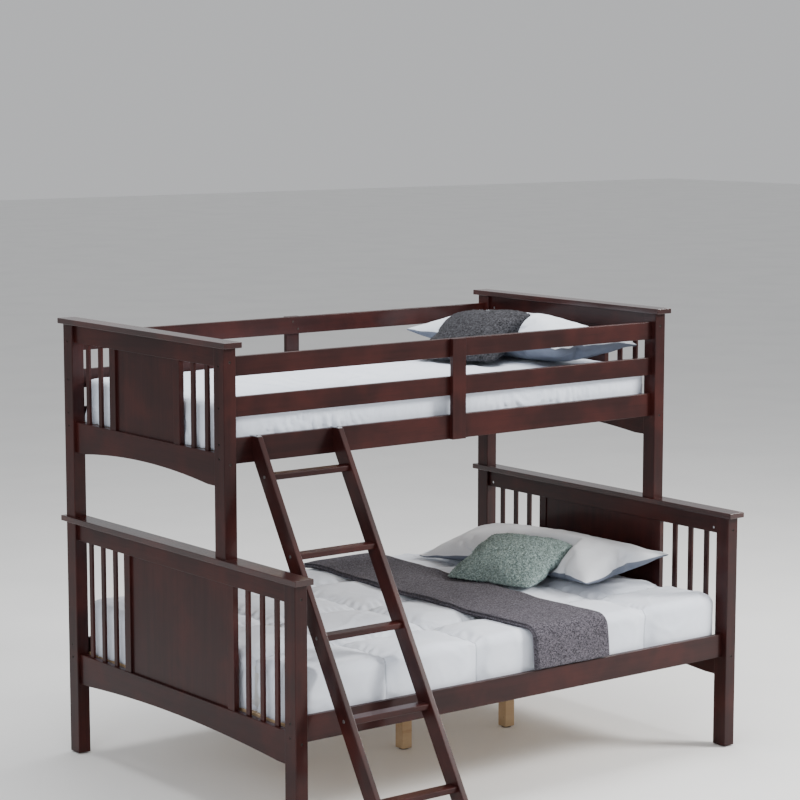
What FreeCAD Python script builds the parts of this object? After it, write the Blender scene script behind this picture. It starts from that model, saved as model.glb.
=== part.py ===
import FreeCAD, Part
import math
import os

# Bunk bed with ladder: a wide lower bunk, a narrow upper bunk that stacks on it, and a leaning ladder.
# Millimetres. +Z up, +X towards the pillow end (head), +Y towards the wall. The origin is on the floor,
# at the middle of everything the bed stands over, the ladder's feet included.

# Overall frame
LENGTH = 2046.0            # over the posts, foot end to head end
UPPER_WIDTH = 1076.0       # over the posts
LOWER_WIDTH = 1484.0
LOWER_HEIGHT = 908.0       # floor to the top of the lower caps
UPPER_HEIGHT = 742.0       # top of the lower caps to the top of the upper caps
POST_X = 50.0
POST_Y = 63.5
CAP_T = 20.0
CAP_OVER_X = 12.0
CAP_OVER_Y = 20.7
GLIDE_T = 5.0
EASE = 2.0                 # radius on the long edges of the timber

# End frames
END_SETBACK = 12.0         # post's outer face to the rail's outer face
END_T = 26.0
TOP_RAIL_H = 67.5
BOTTOM_RAIL_H = 113.0
ARCH_RISE = 25.0
ARCH_FLAT = 60.0           # straight stretch at each end of the arch
SPINDLE_W = 22.0
SPINDLE_T = 10.0
STILE_W = 40.0
STILE_T = 20.0
PANEL_T = 8.0

# Long sides
RAIL_SETBACK = 22.0        # post's outer face to the rail's outer face
RAIL_T = 19.0
SIDE_RAIL_H = 88.5
UPPER_RAIL_Z = 322.5       # underside of the upper side rail above the lower caps
LOWER_RAIL_Z = 350.5       # underside of the lower side rail above the floor
END_ABOVE_RAIL = 35.5      # end bottom rail's top above the side rail's underside
MID_GUARD_Z = 482.5        # guard rails, above the lower caps
MID_GUARD_H = 68.5
TOP_GUARD_Z = 622.0
TOP_GUARD_H = 67.5
UPRIGHT_X = 993.0          # foot posts' outer face to the guard upright
UPRIGHT_W = 62.0
UPRIGHT_T = 18.0

# Mattress support
LEDGER = 20.0
SLAT_W = 70.0
SLAT_T = 14.0
SLAT_COUNT = 13
SLAT_END = 60.0            # foot posts' outer face to the first slat
SLAT_PLAY = 2.0
BEAM_H = 60.0
BEAM_W = 30.0
LEG = 45.0
LEG_COUNT = 3

# Ladder
LADDER_X = 130.0           # foot posts' outer face to the ladder
STRINGER_T = 21.8
STRINGER_GAP = 318.4
STRINGER_RUN = 75.0        # stringer's depth, measured level
LEAN = 0.596               # run for each unit of rise
LADDER_FOOT = 792.1        # upper posts' room face to the front of the stringers' feet
RUNG_TOP = 191.0
RUNG_PITCH = 251.5
RUNG_COUNT = 5
RUNG_T = 20.0
RUNG_D = 50.0
RUNG_SETBACK = 14.0
PAD_T = 4.0
HOOK_W = 18.0
HOOK_T = 3.0
HOOK_LEG = 28.0
HOOK_SEAT = 24.0
LADDER_PLAY = 0.3

# Fasteners
BOLT_R = 3.0
BOLT_BORE_R = 3.3
HEAD_R = 5.0
HEAD_T = 4.0
HEAD_RECESS = 1.0
SOCKET_R = 2.3
SOCKET_DEPTH = 2.5
NUT_R = 5.0
NUT_L = 14.0
NUT_SETBACK = 26.0         # end of the rail to the barrel nut's axis
PLAY = 0.1
RAIL_BOLTS = (21.0, 70.0)  # the two bolts in a side rail's end, above its underside
ARCH_RAIL_BOLT = 80.0      # above the lowest point of an end's bottom rail
TOP_RAIL_BOLT = 19.0       # above the underside of an end's top rail
TOP_GUARD_BOLT = 3.0       # above the middle of the top guard rail
PIN_R = 5.0
PIN_DOWN = 30.0            # stacking pin below the lower cap
PIN_UP = 45.0              # stacking pin above the lower cap
PIN_HOLE_R = 5.3
SCREW_R = 2.0
SCREW_HEAD_R = 4.0
SCREW_HEAD_T = 1.5
SCREW_STAGGER = 15.0       # the two screws of a pair stand this far above and below their rail's middle
HOOK_SCREW_L = 30.0
TREAD_BOLT_GRIP = 40.0     # how far a tread bolt runs into the tread
DOME_R = 6.0
DOME_T = 2.5
GLIDE_R = 19.0

# Bedding
LOWER_INSET = (58.5, 57.0) # posts' outer faces to the mattress, along X and along Y
UPPER_INSET = (43.0, 47.5)
MATTRESS_CORNER = 50.0     # radius of a mattress's corners in plan
LOWER_MATTRESS_T = 190.0
UPPER_MATTRESS_T = 158.0
QUILT_T = 12.5
SHEET_T = 2.0
CUSHION_T = 52.0
CUSHION_EDGE = 60.0        # how far a cushion's flat faces draw in from its outline
THROW_X = 1040.0           # foot posts' outer face to the folded throw
THROW_W = 350.0
THROW_T = 16.0
THROW_DROP = 125.0
SOFT_PLAY = 0.5            # soft pieces stand this far off what they rest on
LOWER_PILLOW_AT = (1510.0, -667.0, 955.0)      # X from the foot posts, Y of the middle from the wall, length
LOWER_PILLOW_SECTION = [(0, 28), (50, 0), (420, 0), (480, 95), (450, 140), (400, 172), (340, 172), (290, 160)]
UPPER_PILLOW_AT = (1545.0, -545.0, 900.0)
UPPER_PILLOW_SECTION = [(0, 66), (110, 0), (390, 0), (430, 90), (400, 150), (350, 180), (260, 176)]
LOWER_CUSHION = {"side": 400.0, "x": 1510.0, "y": -757.0, "rise": 94.0, "tilt": 20.0, "turn": 18.0}
UPPER_CUSHION = {"side": 380.0, "x": 1500.0, "y": -473.0, "rise": 112.0, "tilt": 30.0, "turn": 20.0}

X_FOOT = -LENGTH / 2
Y_WALL = (UPPER_WIDTH + LADDER_FOOT - CAP_OVER_Y) / 2
UPPER_FRONT = Y_WALL - UPPER_WIDTH
LOWER_FRONT = Y_WALL - LOWER_WIDTH
X_AXIS = FreeCAD.Vector(1, 0, 0)
Y_AXIS = FreeCAD.Vector(0, 1, 0)
Z_AXIS = FreeCAD.Vector(0, 0, 1)
ENDS = (("foot", -1), ("head", 1))
SIDES = (("front", -1), ("back", 1))


def block(corner, opposite):
    """A square-edged box between two opposite corners, given in any order."""
    low = [min(a, b) for a, b in zip(corner, opposite)]
    high = [max(a, b) for a, b in zip(corner, opposite)]
    size = [b - a for a, b in zip(low, high)]
    return Part.makeBox(size[0], size[1], size[2], FreeCAD.Vector(*low))


def along(shape, axis):
    """The straight edges of a shape that run along one axis."""
    found = []
    for edge in shape.Edges:
        run = edge.Vertexes[-1].Point - edge.Vertexes[0].Point
        if run.Length > 0 and abs(run.dot(axis)) > 0.999 * run.Length:
            found.append(edge)
    return found


def timber(corner, opposite, axis, radius=EASE):
    """A block whose four edges along one axis are rounded over."""
    bar = block(corner, opposite)
    return bar.makeFillet(radius, along(bar, axis))


def rod(radius, length, start, direction):
    return Part.makeCylinder(radius, length, FreeCAD.Vector(start), FreeCAD.Vector(direction))


def drill(shape, bores):
    """The shape less every bore that reaches its bounding box."""
    near = [bore for bore in bores if shape.BoundBox.intersect(bore.BoundBox)]
    return shape.cut(near) if near else shape


def save(node, *solids):
    shape = solids[0] if len(solids) == 1 else Part.makeCompound(list(solids))
    shape.exportStep("parts/" + node + ".step")


def end_x(end, depth):
    """X of a plane this far inside the outer face of the posts at one end."""
    return end * (LENGTH / 2 - depth)


class Level:
    """One bunk: where its sides lie, its heights, and how its end frames are filled."""

    def __init__(self, name, width, base, posts_from, cap_top, rail_z, spindles):
        self.name = name
        self.width = width
        self.base = base
        self.posts_from = posts_from
        self.cap_top = cap_top
        self.posts_to = cap_top - CAP_T
        self.rail_z = rail_z
        self.end_rail_top = rail_z + END_ABOVE_RAIL
        self.end_rail_bottom = self.end_rail_top - BOTTOM_RAIL_H
        self.top_rail_bottom = self.posts_to - TOP_RAIL_H
        self.spindles = spindles
        self.slat_top = rail_z + LEDGER + SLAT_T
        self.bores = []
        self.bolts = []
        self.nuts = []

    def side_y(self, side, depth):
        """Y of a plane this far inside the outer face of the posts on one side."""
        outer = Y_WALL if side > 0 else Y_WALL - self.width
        return outer - side * depth

    def bolt(self, outer, into, post_depth, nut_side, nut_reach):
        """A bolt through a post into a rail's end, its barrel nut, and the bores for both.

        outer is on the post's outer face, into points down the rail, nut_side points from the bolt to
        the rail's inner face and nut_reach is how far away that face is."""
        seat = outer + into * HEAD_RECESS
        reach = post_depth + NUT_SETBACK + NUT_R + 2
        head = rod(HEAD_R, HEAD_T, seat, into)
        corners = [math.radians(60 * i) for i in range(7)]
        hexagon = [FreeCAD.Vector(SOCKET_R * math.cos(a), SOCKET_R * math.sin(a), 0) for a in corners]
        socket = Part.Face(Part.makePolygon(hexagon)).extrude(Z_AXIS * SOCKET_DEPTH)
        socket.Placement = FreeCAD.Placement(seat, FreeCAD.Rotation(Z_AXIS, into))
        shank = rod(BOLT_R, reach - HEAD_RECESS, seat, into)
        self.bolts.append(head.cut(socket).fuse(shank.cut(socket)).removeSplitter())
        axis_point = outer + into * (post_depth + NUT_SETBACK)
        face_point = axis_point + nut_side * nut_reach
        nut = rod(NUT_R, NUT_L, face_point - nut_side, nut_side * -1)
        self.nuts.append(nut.cut(rod(BOLT_R + PLAY, 4 * NUT_R, axis_point - into * 2 * NUT_R, into)))
        self.bores.append(rod(HEAD_R + PLAY, HEAD_RECESS + HEAD_T, outer, into))
        self.bores.append(rod(BOLT_BORE_R, reach + 2, outer, into))
        self.bores.append(rod(NUT_R + PLAY, NUT_L + 1, face_point, nut_side * -1))

    def bolt_side_rail(self, end, side, z):
        """A bolt along X from the post's end face into a side or guard rail."""
        outer = FreeCAD.Vector(end_x(end, 0), self.side_y(side, RAIL_SETBACK + RAIL_T / 2), z)
        self.bolt(outer, X_AXIS * -end, POST_X, Y_AXIS * -side, RAIL_T / 2)

    def bolt_end_rail(self, end, side, z):
        """A bolt along Y from the post's side face into an end rail."""
        outer = FreeCAD.Vector(end_x(end, END_SETBACK + END_T / 2), self.side_y(side, 0), z)
        self.bolt(outer, Y_AXIS * -side, POST_Y, X_AXIS * -end, END_T / 2)

    def post(self, end, side):
        corner = (end_x(end, 0), self.side_y(side, 0), self.posts_from)
        opposite = (end_x(end, POST_X), self.side_y(side, POST_Y), self.posts_to)
        return timber(corner, opposite, Z_AXIS, 3)

    def cap(self, end):
        """The board that lies over both posts and the top rail of one end."""
        corner = (end_x(end, -CAP_OVER_X), self.side_y(1, -CAP_OVER_Y), self.posts_to)
        opposite = (end_x(end, POST_X + CAP_OVER_X), self.side_y(-1, -CAP_OVER_Y), self.cap_top)
        board = block(corner, opposite)
        return board.makeFillet(EASE, board.Edges)

    def top_rail(self, end):
        corner = (end_x(end, END_SETBACK), self.side_y(1, POST_Y), self.top_rail_bottom)
        opposite = (end_x(end, END_SETBACK + END_T), self.side_y(-1, POST_Y), self.posts_to)
        return timber(corner, opposite, Y_AXIS)

    def bottom_rail(self, end):
        """The end rail whose underside rises in a shallow arch."""
        back = self.side_y(1, POST_Y)
        front = self.side_y(-1, POST_Y)
        x = end_x(end, END_SETBACK)
        low = self.end_rail_bottom
        top = self.end_rail_top
        points = [(back, low), (back, top), (front, top), (front, low), (front + ARCH_FLAT, low)]
        outline = [FreeCAD.Vector(x, y, z) for y, z in points]
        crown = FreeCAD.Vector(x, (front + back) / 2, low + ARCH_RISE)
        spring = FreeCAD.Vector(x, back - ARCH_FLAT, low)
        edges = [Part.LineSegment(a, b).toShape() for a, b in zip(outline, outline[1:])]
        edges.append(Part.Arc(outline[-1], crown, spring).toShape())
        edges.append(Part.LineSegment(spring, outline[0]).toShape())
        rail = Part.Face(Part.Wire(edges)).extrude(X_AXIS * -end * END_T)
        tops = [e for e in along(rail, Y_AXIS) if abs(e.CenterOfMass.z - top) < 1]
        return rail.makeFillet(EASE, tops)

    def infill(self, end):
        """Spindles and stiles on both sides of the middle panel, and the panel itself."""
        low = self.end_rail_top
        high = self.top_rail_bottom
        middle = Y_WALL - self.width / 2
        centre = END_SETBACK + END_T / 2
        clear = self.width / 2 - POST_Y
        panel_half = self.spindles["panel"] / 2
        stile_from = clear - panel_half - STILE_W
        gap = (stile_from - self.spindles["count"] * SPINDLE_W) / (self.spindles["count"] + 1)
        bars = []
        for side in (-1, 1):
            for i in range(self.spindles["count"]):
                y = middle + side * (clear - gap - i * (gap + SPINDLE_W))
                corner = (end_x(end, centre - SPINDLE_T / 2), y, low)
                opposite = (end_x(end, centre + SPINDLE_T / 2), y - side * SPINDLE_W, high)
                bars.append(timber(corner, opposite, Z_AXIS, 1))
            y = middle + side * panel_half
            corner = (end_x(end, centre - STILE_T / 2), y, low)
            opposite = (end_x(end, centre + STILE_T / 2), y + side * STILE_W, high)
            bars.append(timber(corner, opposite, Z_AXIS, 1))
        corner = (end_x(end, centre - STILE_T / 2 + PANEL_T), middle - panel_half, low)
        opposite = (end_x(end, centre - STILE_T / 2 + 2 * PANEL_T), middle + panel_half, high)
        return bars, block(corner, opposite)

    def long_rail(self, side, z, height):
        corner = (end_x(-1, POST_X), self.side_y(side, RAIL_SETBACK), z)
        opposite = (end_x(1, POST_X), self.side_y(side, RAIL_SETBACK + RAIL_T), z + height)
        return timber(corner, opposite, X_AXIS)

    def ledger(self, side):
        """The bearer along the inside of a side rail, level with its underside."""
        inner = RAIL_SETBACK + RAIL_T
        corner = (end_x(-1, POST_X), self.side_y(side, inner), self.rail_z)
        opposite = (end_x(1, POST_X), self.side_y(side, inner + LEDGER), self.rail_z + LEDGER)
        return timber(corner, opposite, X_AXIS, 1)

    def slats(self):
        depth = RAIL_SETBACK + RAIL_T + SLAT_PLAY
        pitch = (LENGTH - 2 * SLAT_END - SLAT_W) / (SLAT_COUNT - 1)
        boards = []
        for i in range(SLAT_COUNT):
            x = X_FOOT + SLAT_END + i * pitch
            corner = (x, self.side_y(1, depth), self.rail_z + LEDGER)
            opposite = (x + SLAT_W, self.side_y(-1, depth), self.slat_top)
            boards.append(timber(corner, opposite, Y_AXIS))
        return boards

    def save_frame(self):
        """Every end-frame, post and rail node of this level, drilled for its bolts."""
        for end_name, end in ENDS:
            for side_name, side in SIDES:
                node = "_".join((self.name, "post", end_name, side_name))
                save(node, drill(self.post(end, side), self.bores))
            bars, panel = self.infill(end)
            save(self.name + "_cap_" + end_name, drill(self.cap(end), self.bores))
            save(self.name + "_top_rail_" + end_name, drill(self.top_rail(end), self.bores))
            save(self.name + "_bottom_rail_" + end_name, drill(self.bottom_rail(end), self.bores))
            save(self.name + "_spindles_" + end_name, *bars)
            save(self.name + "_panel_" + end_name, panel)
        for side_name, side in SIDES:
            rail = self.long_rail(side, self.rail_z, SIDE_RAIL_H)
            save(self.name + "_side_rail_" + side_name, drill(rail, self.bores))
        save(self.name + "_slat_ledgers", self.ledger(-1), self.ledger(1))
        save(self.name + "_slats", *self.slats())
        save(self.name + "_frame_bolts", *self.bolts)
        save(self.name + "_barrel_nuts", *self.nuts)


def stacking_points():
    """The middle of each upper post's foot, on top of the lower caps."""
    points = []
    for _, end in ENDS:
        for _, side in SIDES:
            x = end_x(end, POST_X / 2)
            points.append(FreeCAD.Vector(x, upper.side_y(side, POST_Y / 2), LOWER_HEIGHT))
    return points


def bolt_frames():
    """Frame bolts: two in each end of a side rail, one in each end of every other rail."""
    for level in (lower, upper):
        for _, end in ENDS:
            for _, side in SIDES:
                for height in RAIL_BOLTS:
                    level.bolt_side_rail(end, side, level.rail_z + height)
                level.bolt_end_rail(end, side, level.end_rail_bottom + ARCH_RAIL_BOLT)
                level.bolt_end_rail(end, side, level.top_rail_bottom + TOP_RAIL_BOLT)
    for _, end in ENDS:
        for _, side in SIDES:
            upper.bolt_side_rail(end, side, LOWER_HEIGHT + MID_GUARD_Z + MID_GUARD_H / 2)
            upper.bolt_side_rail(end, side, LOWER_HEIGHT + TOP_GUARD_Z + TOP_GUARD_H / 2 + TOP_GUARD_BOLT)


def stacking_pins():
    """Steel pins that stand in the lower bunk and locate the upper posts."""
    pins = []
    for point in stacking_points():
        pin = rod(PIN_R, PIN_DOWN + CAP_T + PIN_UP, point - Z_AXIS * (PIN_DOWN + CAP_T), Z_AXIS)
        rim = [e for e in pin.Edges if abs(e.CenterOfMass.z - pin.BoundBox.ZMax) < PLAY]
        pins.append(pin.makeChamfer(2, rim))
        lower.bores.append(rod(PIN_R, PIN_DOWN + CAP_T, point - Z_AXIS * (PIN_DOWN + CAP_T), Z_AXIS))
        upper.bores.append(rod(PIN_HOLE_R, PIN_UP + 3, point, Z_AXIS))
    save("stacking_pins", *pins)


def guard_rails():
    """Guard rails on both sides, and the upright that ties them to the side rail at mid length."""
    rails = []
    for _, side in SIDES:
        rails.append(upper.long_rail(side, LOWER_HEIGHT + MID_GUARD_Z, MID_GUARD_H))
        rails.append(upper.long_rail(side, LOWER_HEIGHT + TOP_GUARD_Z, TOP_GUARD_H))
    uprights = []
    x = X_FOOT + UPRIGHT_X
    centres = (upper.rail_z + SIDE_RAIL_H / 2, LOWER_HEIGHT + MID_GUARD_Z + MID_GUARD_H / 2,
               LOWER_HEIGHT + TOP_GUARD_Z + TOP_GUARD_H / 2)
    for _, side in SIDES:
        corner = (x, upper.side_y(side, RAIL_SETBACK), upper.rail_z)
        top = LOWER_HEIGHT + TOP_GUARD_Z + TOP_GUARD_H
        opposite = (x + UPRIGHT_W, upper.side_y(side, RAIL_SETBACK - UPRIGHT_T), top)
        uprights.append(timber(corner, opposite, Z_AXIS))
        for z in centres:
            for dx, dz in ((UPRIGHT_W * 0.3, SCREW_STAGGER), (UPRIGHT_W * 0.7, -SCREW_STAGGER)):
                face = FreeCAD.Vector(x + dx, upper.side_y(side, RAIL_SETBACK + RAIL_T), z + dz)
                out = Y_AXIS * side
                screw = rod(SCREW_R, RAIL_T + UPRIGHT_T * 0.7, face, out)
                screw = screw.fuse(rod(SCREW_HEAD_R, SCREW_HEAD_T, face - out * SCREW_HEAD_T, out))
                upper.bolts.append(screw.removeSplitter())
                upper.bores.append(rod(SCREW_R, RAIL_T + UPRIGHT_T * 0.7, face, out))
    return rails, uprights


def centre_support():
    """The beam under the middle of the lower slats, and its legs."""
    middle = Y_WALL - LOWER_WIDTH / 2
    top = lower.rail_z + LEDGER
    inner = END_SETBACK + END_T
    corner = (end_x(-1, inner), middle - BEAM_W / 2, top - BEAM_H)
    opposite = (end_x(1, inner), middle + BEAM_W / 2, top)
    pieces = [timber(corner, opposite, X_AXIS)]
    feet = []
    for i in range(LEG_COUNT):
        x = end_x(-1, 0) + LENGTH * (i + 1) / (LEG_COUNT + 1)
        corner = (x - LEG / 2, middle - LEG / 2, GLIDE_T)
        opposite = (x + LEG / 2, middle + LEG / 2, top - BEAM_H)
        pieces.append(timber(corner, opposite, Z_AXIS))
        feet.append((x, middle))
    save("lower_centre_support", *pieces)
    return feet


def floor_glides(feet):
    """A round plastic glide under each lower post and each centre leg."""
    places = list(feet)
    for _, end in ENDS:
        for _, side in SIDES:
            places.append((end_x(end, POST_X / 2), lower.side_y(side, POST_Y / 2)))
    glides = []
    for x, y in places:
        disc = rod(GLIDE_R, GLIDE_T, FreeCAD.Vector(x, y, 0), Z_AXIS)
        rim = [e for e in disc.Edges if abs(e.CenterOfMass.z) < PLAY]
        glides.append(disc.makeFillet(1.5, rim))
    save("floor_glides", *glides)


def ladder_front(z):
    """Y of the stringers' front edge at a height above the floor."""
    return UPPER_FRONT - LADDER_FOOT + LEAN * (z - PAD_T)


def ladder():
    """Two leaning stringers, level treads bolted between them, steel hooks and rubber feet."""
    rail_face = upper.side_y(-1, RAIL_SETBACK) - LADDER_PLAY
    top = upper.rail_z + SIDE_RAIL_H + LADDER_PLAY
    z_meet = (rail_face - STRINGER_RUN - ladder_front(0)) / LEAN
    profile = [(ladder_front(PAD_T), PAD_T), (ladder_front(top), top), (rail_face, top), (rail_face, z_meet),
               (ladder_front(PAD_T) + STRINGER_RUN, PAD_T)]
    left = X_FOOT + LADDER_X
    right = left + STRINGER_T + STRINGER_GAP
    bolts = []
    bores = []
    rungs = []
    for i in range(RUNG_COUNT):
        z = RUNG_TOP + i * RUNG_PITCH - RUNG_T / 2
        front = ladder_front(z) + RUNG_SETBACK
        corner = (left + STRINGER_T, front, z - RUNG_T / 2)
        rungs.append(timber(corner, (right, front + RUNG_D, z + RUNG_T / 2), X_AXIS, 4))
        for face, inward in ((left, 1), (right + STRINGER_T, -1)):
            into = X_AXIS * inward
            start = FreeCAD.Vector(face, front + RUNG_D / 2, z)
            bolt = rod(BOLT_R, STRINGER_T + TREAD_BOLT_GRIP, start, into)
            dome = rod(DOME_R, DOME_T, start - into * DOME_T, into)
            outer = [e for e in dome.Edges if abs(e.CenterOfMass.x - (face - inward * DOME_T)) < PLAY]
            bolts.append(bolt.fuse(dome.makeFillet(1.8, outer)).removeSplitter())
            bores.append(rod(BOLT_R + PLAY, STRINGER_T + TREAD_BOLT_GRIP + 2, start, into))
    hooks = []
    pads = []
    stringers = []
    for name, x in (("left", left), ("right", right)):
        wire = Part.makePolygon([FreeCAD.Vector(x, y, z) for y, z in profile + profile[:1]])
        side = Part.Face(wire).extrude(X_AXIS * STRINGER_T)
        slopes = [edge for edge in side.Edges if edge.Length > STRINGER_RUN * 2]
        side = side.makeFillet(3, slopes)
        low_y = ladder_front(PAD_T)
        pads.append(block((x + 1, low_y + 2, 0), (x + STRINGER_T - 1, low_y + STRINGER_RUN - 2, PAD_T)))
        mid = x + STRINGER_T / 2
        behind = upper.side_y(-1, RAIL_SETBACK + RAIL_T) + LADDER_PLAY
        far_corner = (mid + HOOK_W / 2, behind + HOOK_T, top + HOOK_T)
        plate = block((mid - HOOK_W / 2, rail_face - HOOK_SEAT, top), far_corner)
        leg = block((mid - HOOK_W / 2, behind, top + HOOK_T - HOOK_LEG), far_corner)
        hook = plate.fuse(leg).removeSplitter()
        bend = [e for e in along(hook, X_AXIS) if abs(e.CenterOfMass.y - behind - HOOK_T) < PLAY
                and abs(e.CenterOfMass.z - top - HOOK_T) < PLAY]
        hook = hook.makeFillet(HOOK_T * 0.9, bend)
        seat = FreeCAD.Vector(mid, rail_face - HOOK_SEAT / 2, top + HOOK_T)
        screw = rod(SCREW_R, HOOK_SCREW_L, seat, Z_AXIS * -1)
        screw = screw.fuse(rod(SCREW_HEAD_R, SCREW_HEAD_T, seat, Z_AXIS))
        bolts.append(screw.removeSplitter())
        bores.append(rod(SCREW_R, HOOK_SCREW_L, seat, Z_AXIS * -1))
        hooks.append(drill(hook, bores[-1:]))
        stringers.append((name, side))
    for name, side in stringers:
        save("ladder_stringer_" + name, drill(side, bores))
    save("ladder_rungs", *[drill(rung, bores) for rung in rungs])
    save("ladder_hooks", *hooks)
    save("ladder_bolts", *bolts)
    save("ladder_feet", *pads)


def cushion(shape, floor):
    """A plain stand-in for a square cushion: widest at mid thickness, with smaller faces above and below.

    tilt leans its top edge up towards the pillow, turn swings it about Z, and its middle is rise above
    the floor given."""
    wires = []
    for z, inset in ((-CUSHION_T / 2, CUSHION_EDGE), (0, 0), (CUSHION_T / 2, CUSHION_EDGE)):
        half = shape["side"] / 2 - inset
        corners = [(-half, -half), (half, -half), (half, half), (-half, half), (-half, -half)]
        wires.append(Part.makePolygon([FreeCAD.Vector(a, b, z) for a, b in corners]))
    pad = Part.makeLoft(wires, True, True)
    lean = FreeCAD.Rotation(Y_AXIS, -shape["tilt"])
    swing = FreeCAD.Rotation(Z_AXIS, shape["turn"])
    centre = FreeCAD.Vector(X_FOOT + shape["x"], Y_WALL + shape["y"], floor + shape["rise"])
    pad.Placement = FreeCAD.Placement(centre, swing.multiply(lean))
    return pad


def pillow(section, place, z):
    """A plain stand-in for a pillow: one cross-section carried across the bed's width."""
    x, y, length = place
    start = Y_WALL + y - length / 2
    points = [FreeCAD.Vector(X_FOOT + x + dx, start, z + dz) for dx, dz in section + section[:1]]
    return Part.Face(Part.makePolygon(points)).extrude(Y_AXIS * length)


def cover(inner, thickness, floor):
    """A skin over the top and the four sides of a mattress, open underneath."""
    box = inner.BoundBox
    low = (box.XMin - thickness, box.YMin - thickness, floor)
    high = (box.XMax + thickness, box.YMax + thickness, box.ZMax + thickness)
    skin = timber(low, high, Z_AXIS, MATTRESS_CORNER + thickness)
    hollow = timber((box.XMin, box.YMin, floor - 1), (box.XMax, box.YMax, box.ZMax), Z_AXIS, MATTRESS_CORNER)
    return skin.cut(hollow)


def mattress(level, inset, thickness):
    low = level.slat_top + SOFT_PLAY
    corner = (end_x(-1, inset[0]), level.side_y(1, inset[1]), low)
    opposite = (end_x(1, inset[0]), level.side_y(-1, inset[1]), low + thickness)
    return timber(corner, opposite, Z_AXIS, MATTRESS_CORNER)


def lower_bedding():
    body = mattress(lower, LOWER_INSET, LOWER_MATTRESS_T)
    save("lower_mattress", body)
    quilt = cover(body, QUILT_T, lower.slat_top + SOFT_PLAY)
    save("lower_quilt", quilt)
    top = quilt.BoundBox.ZMax + SOFT_PLAY
    front = quilt.BoundBox.YMin
    save("lower_pillow", pillow(LOWER_PILLOW_SECTION, LOWER_PILLOW_AT, top))
    save("lower_cushion", cushion(LOWER_CUSHION, top))
    throw_x = X_FOOT + THROW_X
    hang = front - SOFT_PLAY - THROW_T
    over = block((throw_x, quilt.BoundBox.YMax, top), (throw_x + THROW_W, hang, top + THROW_T))
    drop = block((throw_x, front - SOFT_PLAY, top - THROW_DROP), (throw_x + THROW_W, hang, top + THROW_T))
    save("lower_throw", over.fuse(drop).removeSplitter())


def upper_bedding():
    body = mattress(upper, UPPER_INSET, UPPER_MATTRESS_T)
    save("upper_mattress", body)
    sheet = cover(body, SHEET_T, upper.slat_top + SOFT_PLAY)
    save("upper_fitted_sheet", sheet)
    top = sheet.BoundBox.ZMax + SOFT_PLAY
    save("upper_pillow", pillow(UPPER_PILLOW_SECTION, UPPER_PILLOW_AT, top))
    save("upper_cushion", cushion(UPPER_CUSHION, top))


os.makedirs("parts", exist_ok=True)
lower = Level("lower", LOWER_WIDTH, 0, GLIDE_T, LOWER_HEIGHT, LOWER_RAIL_Z, {"count": 3, "panel": 636.0})
upper = Level("upper", UPPER_WIDTH, LOWER_HEIGHT, LOWER_HEIGHT, LOWER_HEIGHT + UPPER_HEIGHT,
              LOWER_HEIGHT + UPPER_RAIL_Z, {"count": 2, "panel": 390.0})
bolt_frames()
stacking_pins()
guards, guard_uprights = guard_rails()
lower.save_frame()
upper.save_frame()
save("guard_rails", *[drill(rail, upper.bores) for rail in guards])
save("guard_rail_uprights", *[drill(upright, upper.bores) for upright in guard_uprights])
floor_glides(centre_support())
ladder()
lower_bedding()
upper_bedding()
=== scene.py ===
import math

import bpy
import numpy as np
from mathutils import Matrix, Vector


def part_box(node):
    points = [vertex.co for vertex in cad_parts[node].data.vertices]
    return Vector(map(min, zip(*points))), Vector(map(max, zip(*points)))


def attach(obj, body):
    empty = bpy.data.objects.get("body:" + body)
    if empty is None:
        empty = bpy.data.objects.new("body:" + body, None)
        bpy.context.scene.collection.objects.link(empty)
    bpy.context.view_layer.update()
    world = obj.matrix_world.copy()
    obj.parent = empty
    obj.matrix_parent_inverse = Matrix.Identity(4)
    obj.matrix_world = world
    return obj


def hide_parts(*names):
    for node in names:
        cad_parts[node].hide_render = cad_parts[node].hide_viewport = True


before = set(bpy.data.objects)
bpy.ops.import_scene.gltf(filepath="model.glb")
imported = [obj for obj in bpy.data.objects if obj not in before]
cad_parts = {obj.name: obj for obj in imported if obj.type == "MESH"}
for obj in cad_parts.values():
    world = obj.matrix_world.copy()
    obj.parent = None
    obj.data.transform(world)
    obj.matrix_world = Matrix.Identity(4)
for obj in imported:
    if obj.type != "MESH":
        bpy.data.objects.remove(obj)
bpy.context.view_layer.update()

# Bunk bed with ladder: timber and hardware keep their CAD shapes and get finishes here, and every soft
# piece is made here. Metres, in the frame's own axes: +X to the pillow end, +Y to the wall, +Z up.

LEAN = math.atan(0.596)             # the ladder's lean from upright
QUILT_SQUARE = 0.403                # one square of the quilt, seam to seam


# ---------------------------------------------------------------- finishes

class Value:
    """A socket whose arithmetic adds Math nodes to its material."""

    def __init__(self, finish, socket):
        self.finish = finish
        self.socket = socket

    def math(self, operation, *operands):
        settings = {"operation": operation}
        return self.finish.node("ShaderNodeMath", "Value", settings, dict(enumerate(operands)))

    def __add__(self, other):
        return self.math("ADD", self, other)

    def __sub__(self, other):
        return self.math("SUBTRACT", self, other)

    def __rsub__(self, other):
        return self.math("SUBTRACT", other, self)

    def __mul__(self, other):
        return self.math("MULTIPLY", self, other)

    __radd__ = __add__
    __rmul__ = __mul__

    def ramp(self, low, high):
        """0 below low, 1 above high, and smooth between them."""
        settings = {"interpolation_type": "SMOOTHSTEP"}
        values = {"Value": self, "From Min": low, "From Max": high}
        return self.finish.node("ShaderNodeMapRange", "Result", settings, values)


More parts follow.
